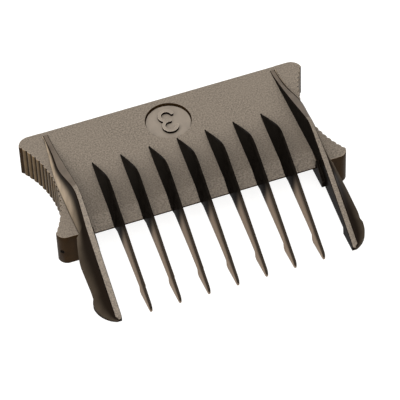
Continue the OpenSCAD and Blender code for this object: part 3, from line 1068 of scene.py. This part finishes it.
def post_mesh(dimpled):
    """The right round-nosed front post, with or without the dimple."""
    centre = (SIDE_HALF - POST_NOSE, POST_FRONT + POST_NOSE)
    start = GRIP_PLACE - GRIP_LENGTH / 2
    back = POST_FRONT + POST_DEPTH
    inner = SIDE_HALF - POST_WIDTH
    web = GRIP_PLACE - WEB_HALF
    outside = ([(inner, POST_FRONT)] + arc(centre, POST_NOSE, -90, 0, 16)
               + hollow_points(start, BAND_LOW.y)[1:])
    shared = outside + inner_points(BAND_LOW.y, back, 4)
    below = [(inner, back)]
    above = inner_points(back, web)[1:] + [(SIDE_INNER, web), (SIDE_INNER, POST_FRONT)]
    mesh = tiers(shared, [0, DECK_UNDER, DECK_TOP], [below, above])
    outward(mesh)
    soften_outside(mesh, outside + [(SIDE_INNER, POST_FRONT)], DECK_TOP)
    if not dimpled:
        return dress(mesh)
    reach = POST_NOSE + DIMPLE_OUT
    place = Vector((centre[0] + reach * math.cos(DIMPLE_TURN),
                    centre[1] + reach * math.sin(DIMPLE_TURN), DIMPLE_HEIGHT))
    ball = bmesh.new()
    bmesh.ops.create_uvsphere(ball, u_segments=24, v_segments=16, radius=DIMPLE_RADIUS)
    bmesh.ops.translate(ball, verts=ball.verts, vec=place)
    mesh = dress(combined(mesh, ball, "DIFFERENCE"))
    # The dimple's faces take the near-black polished finish: painted shade in the pit.
    for face in mesh.faces:
        if all((vert.co - place).length < DIMPLE_RADIUS + 0.01 for vert in face.verts):
            face.material_index = 2
    return mesh


class GUARD_OT_clip_sides(bpy.types.Operator):
    """Builds the ribbed walls, back corners and front posts of both moving sides"""
    bl_idname = "guard.clip_sides"
    bl_label = "Clip sides"

    def execute(self, context):
        posts = [material("side"), material("textured"), material("polished")]
        ribs = [material("rib"), material("textured")]
        for side in SIDES:
            body = f"{side}_clip"
            for mesh, name, node, slot, finishes in (
                    (band_mesh(), "ribs", "grip_wall", "grip_plastic", ribs),
                    (corner_mesh(), "corner", "rear_corner", "deck_plastic", posts),
                    (post_mesh(side == "left"), "post", "front_post", "deck_plastic", posts)):
                make_piece(mirrored(mesh, side), f"{name}_{side}", body, finishes,
                           [f"{node}_{side}"], crease=40)
        return {"FINISHED"}


class GUARD_OT_snap_lugs(bpy.types.Operator):
    """Gives the snap lugs under the sides their finish"""
    bl_idname = "guard.snap_lugs"
    bl_label = "Snap lugs"

    def execute(self, context):
        for side in SIDES:
            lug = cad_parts[f"snap_lug_{side}"]
            lug.data.materials.clear()
            lug.data.materials.append(material("side"))
        return {"FINISHED"}


# ---- stage ----

VIEW_AIM = Vector((0.51, 0.51, 0.28))
VIEW_DISTANCE = 420
VIEW_TURN = math.radians(-18.11)
VIEW_HEIGHT = math.radians(49.24)
VIEW_ROLL = math.radians(-2.593)
LENS = 245.56


def add_camera():
    """A long lens, looking down on the guard from its front."""
    camera = bpy.data.objects.new("camera", bpy.data.cameras.new("camera"))
    bpy.context.scene.collection.objects.link(camera)
    away = Vector((math.sin(VIEW_TURN) * math.cos(VIEW_HEIGHT),
                   -math.cos(VIEW_TURN) * math.cos(VIEW_HEIGHT), math.sin(VIEW_HEIGHT)))
    turn = (-away).to_track_quat("-Z", "Y").to_matrix() @ Matrix.Rotation(VIEW_ROLL, 3, "Z")
    camera.matrix_world = Matrix.LocRotScale(
        (VIEW_AIM + away * VIEW_DISTANCE) * MM, turn.to_quaternion(), None)
    camera.data.lens = LENS
    camera.data.clip_start = 0.01
    bpy.context.scene.camera = camera


def add_softbox(name, place, size, power, colour):
    """A square area light at this place in metres, aimed at the guard."""
    lamp = bpy.data.lights.new(name, "AREA")
    lamp.shape, lamp.size, lamp.energy, lamp.color = "SQUARE", size, power, colour
    box = bpy.data.objects.new(name, lamp)
    bpy.context.scene.collection.objects.link(box)
    box.location = place
    box.rotation_euler = (-Vector(place)).to_track_quat("-Z", "Y").to_euler()


def add_floor():
    """A broad pale floor that also glows."""
    half = 1.5
    mesh = bmesh.new()
    mesh.faces.new([mesh.verts.new((x * half, y * half, 0))
                    for x, y in ((-1, -1), (1, -1), (1, 1), (-1, 1))])
    floor = as_object(mesh, "floor")
    paint = bpy.data.materials.new("floor_paint")
    paint.use_nodes = True
    shader = paint.node_tree.nodes["Principled BSDF"]
    shader.inputs["Base Color"].default_value = (0.3, 0.3, 0.3, 1)
    shader.inputs["Roughness"].default_value = 0.9
    shader.inputs["Emission Color"].default_value = (1, 1, 1, 1)
    shader.inputs["Emission Strength"].default_value = 0.85
    floor.data.materials.append(paint)


def light_room():
    """A pale room, brighter overhead than at the horizon."""
    world = bpy.data.worlds.new("room")
    bpy.context.scene.world = world
    world.use_nodes = True
    tree = world.node_tree
    place = tree.nodes.new("ShaderNodeTexCoord")
    height = tree.nodes.new("ShaderNodeSeparateXYZ")
    ramp = tree.nodes.new("ShaderNodeMapRange")
    blend = tree.nodes.new("ShaderNodeMix")
    blend.data_type = "RGBA"
    ramp.inputs["From Min"].default_value = 0.1
    ramp.inputs["From Max"].default_value = 0.9
    blend.inputs[6].default_value = (0.45, 0.44, 0.42, 1)
    blend.inputs[7].default_value = (1.15, 1.12, 1.07, 1)
    tree.links.new(place.outputs["Generated"], height.inputs["Vector"])
    tree.links.new(height.outputs["Z"], ramp.inputs["Value"])
    tree.links.new(ramp.outputs["Result"], blend.inputs[0])
    tree.links.new(blend.outputs[2], tree.nodes["Background"].inputs["Color"])


class GUARD_OT_stage(bpy.types.Operator):
    """Sets up the camera, the pale floor and the soft lights"""
    bl_idname = "guard.stage"
    bl_label = "Stage"

    def execute(self, context):
        add_camera()
        add_floor()
        light_room()
        add_softbox("key_softbox", (-0.12, -0.5, 0.7), 0.6, 4.8, (1.0, 0.97, 0.93))
        add_softbox("fill_softbox", (-0.6, 0, 0.6), 0.6, 2.6, (1.0, 0.97, 0.93))
        context.scene.view_settings.view_transform = "Standard"
        return {"FINISHED"}


OPERATORS = (GUARD_OT_stage, GUARD_OT_deck, GUARD_OT_size_mark, GUARD_OT_fin_teeth,
             GUARD_OT_outer_teeth, GUARD_OT_blade_rails, GUARD_OT_clip_sides,
             GUARD_OT_snap_lugs)


class GUARD_PT_panel(bpy.types.Panel):
    """Lists the guard's sizes, finishes and building steps"""
    bl_idname = "GUARD_PT_panel"
    bl_label = "Guard comb"
    bl_space_type = "VIEW_3D"
    bl_region_type = "UI"
    bl_category = "Guard comb"

    def draw(self, context):
        for group in (context.scene.guard_sizes, context.scene.guard_finish):
            box = self.layout.box()
            for name in group.__annotations__:
                box.prop(group, name)
        for operator in OPERATORS:
            self.layout.operator(operator.bl_idname)


CLASSES = (GuardSizes, GuardFinish, *OPERATORS, GUARD_PT_panel)


def register():
    """Makes the settings, the steps and the panel known."""
    for cls in CLASSES:
        bpy.utils.register_class(cls)
    bpy.types.Scene.guard_sizes = PointerProperty(type=GuardSizes)
    bpy.types.Scene.guard_finish = PointerProperty(type=GuardFinish)


def unregister():
    """Takes back what register made."""
    del bpy.types.Scene.guard_finish
    del bpy.types.Scene.guard_sizes
    for cls in reversed(CLASSES):
        bpy.utils.unregister_class(cls)


def main():
    """Builds the stage and every piece in turn."""
    register()
    bpy.ops.guard.stage()
    bpy.ops.guard.deck()
    bpy.ops.guard.size_mark()
    bpy.ops.guard.fin_teeth()
    bpy.ops.guard.outer_teeth()
    bpy.ops.guard.blade_rails()
    bpy.ops.guard.clip_sides()
    bpy.ops.guard.snap_lugs()


if __name__ == "__main__":
    main()
